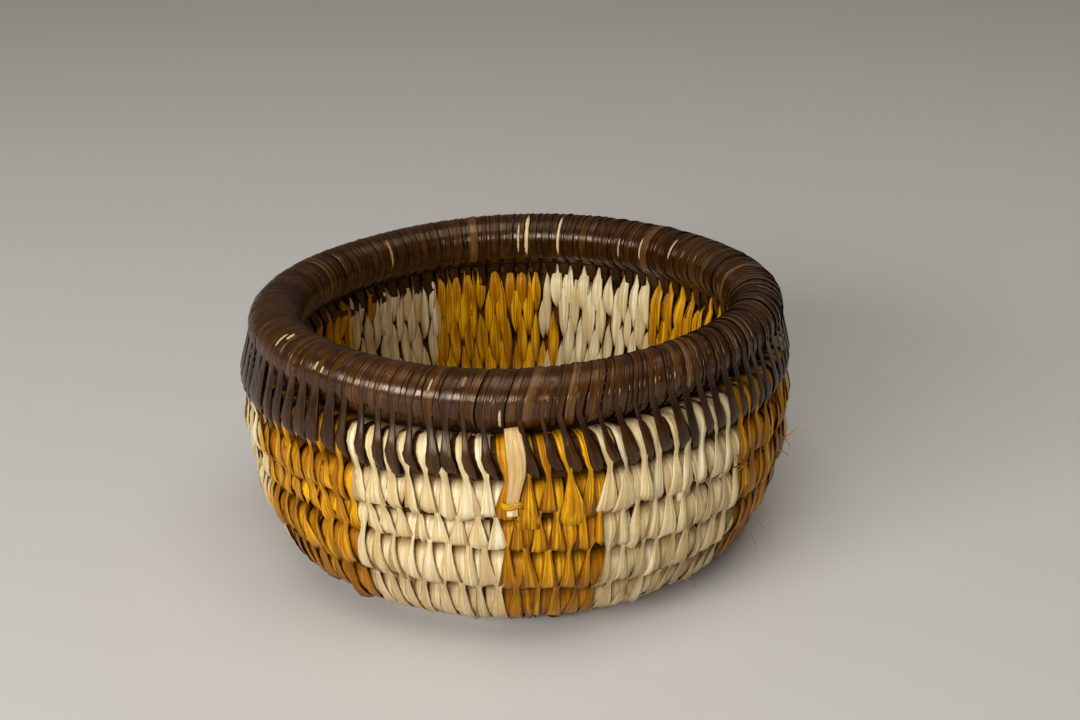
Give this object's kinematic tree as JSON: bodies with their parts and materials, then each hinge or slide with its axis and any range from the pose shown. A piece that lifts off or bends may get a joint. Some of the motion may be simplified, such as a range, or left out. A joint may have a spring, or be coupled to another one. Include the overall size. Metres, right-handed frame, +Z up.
{
  "type": "basket",
  "caption": "Open round coiled basket with a flat base, a thick dark wrapped rim and stitched columns in cream and golden yellow, for holding small dry things.",
  "frame": {"origin": "on the floor under the middle of the basket", "axes": "+Z up out of the mouth; the side in front of the picture faces -Y, with +X to its right"},
  "size_m": [0.1678, 0.1654, 0.0827],
  "materials": {
    "cream_strip": "dry split palm leaf, soft sheen",
    "yellow_strip": "dyed split palm leaf, soft sheen",
    "brown_strip": "dark dyed split palm leaf, glossy",
    "core_fibre": "loose dry palm fibre, matt"
  },
  "bodies": {
    "root": {"foundation_coil": "core_fibre", "start_knot": "cream_strip", "rim_bundle": "core_fibre", "base_stitches_1": "cream_strip", "base_stitches_2": "cream_strip", "base_stitches_3": "cream_strip", "base_stitches_4": "cream_strip", "yellow_stitches_1": "yellow_strip", "rim_wrap_1": "brown_strip", "cream_stitches_1": "cream_strip", "rim_wrap_2": "brown_strip", "yellow_stitches_2": "yellow_strip", "rim_wrap_3": "brown_strip", "cream_stitches_2": "cream_strip", "rim_wrap_4": "brown_strip", "yellow_stitches_3": "yellow_strip", "rim_wrap_5": "brown_strip", "cream_stitches_3": "cream_strip", "rim_wrap_6": "brown_strip", "yellow_stitches_4": "yellow_strip", "rim_wrap_7": "brown_strip", "cream_stitches_4": "cream_strip", "rim_wrap_8": "brown_strip", "yellow_stitches_5": "yellow_strip", "rim_wrap_9": "brown_strip", "cream_stitches_5": "cream_strip", "rim_wrap_10": "brown_strip", "yellow_stitches_6": "yellow_strip", "rim_wrap_11": "brown_strip", "cream_stitches_6": "cream_strip", "rim_wrap_12": "brown_strip"}
  },
  "joints": []
}
